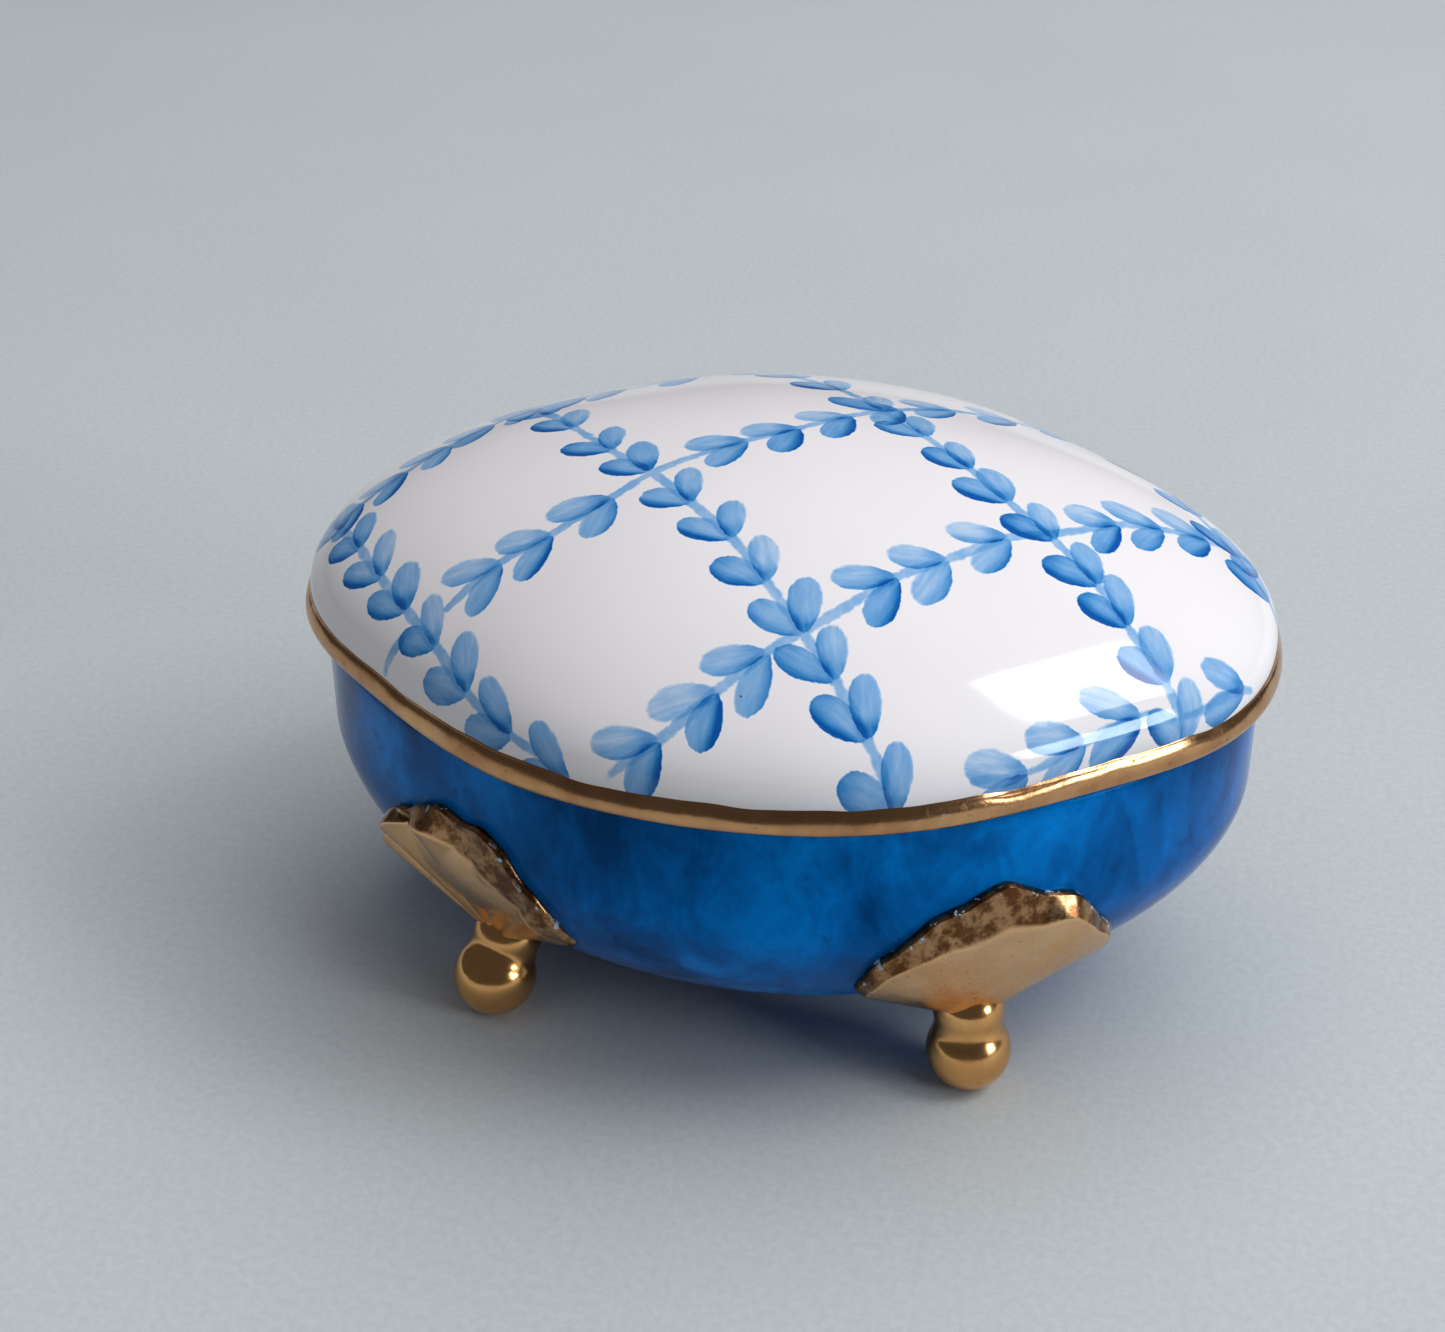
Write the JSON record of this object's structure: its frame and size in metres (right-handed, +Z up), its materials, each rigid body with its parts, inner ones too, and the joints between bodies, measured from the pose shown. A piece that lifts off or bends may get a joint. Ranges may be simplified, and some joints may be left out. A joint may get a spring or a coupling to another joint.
{
  "type": "porcelain trinket box",
  "caption": "Oval footed porcelain box with a lift-off domed lid painted with leaf garlands, for keeping jewellery and small trinkets on a dressing table.",
  "frame": {"origin": "on the table, under the middle of the bowl", "axes": "+X along the length of the box, -Y towards its front, +Z up"},
  "size_m": [0.102, 0.0828, 0.0582],
  "materials": {
    "blue_glaze": "gloss",
    "white_glaze": "gloss",
    "gilding": "gloss"
  },
  "bodies": {
    "footed_bowl": {"body_bowl": "blue_glaze", "shell_bracket_front_left": "gilding", "shell_bracket_front_right": "gilding", "shell_bracket_back_left": "gilding", "shell_bracket_back_right": "gilding", "ball_foot_front_left": "gilding", "ball_foot_front_right": "gilding", "ball_foot_back_left": "gilding", "ball_foot_back_right": "gilding"},
    "lid": {"lid_dome": "white_glaze", "lid_gilt_edge": "gilding", "lid_locating_flange": "white_glaze"}
  },
  "joints": [
    {"name": "lid_lift", "type": "slide", "parent": "footed_bowl", "child": "lid", "axis": [0, 0, 1], "range_m": [0, 0.07]}
  ]
}
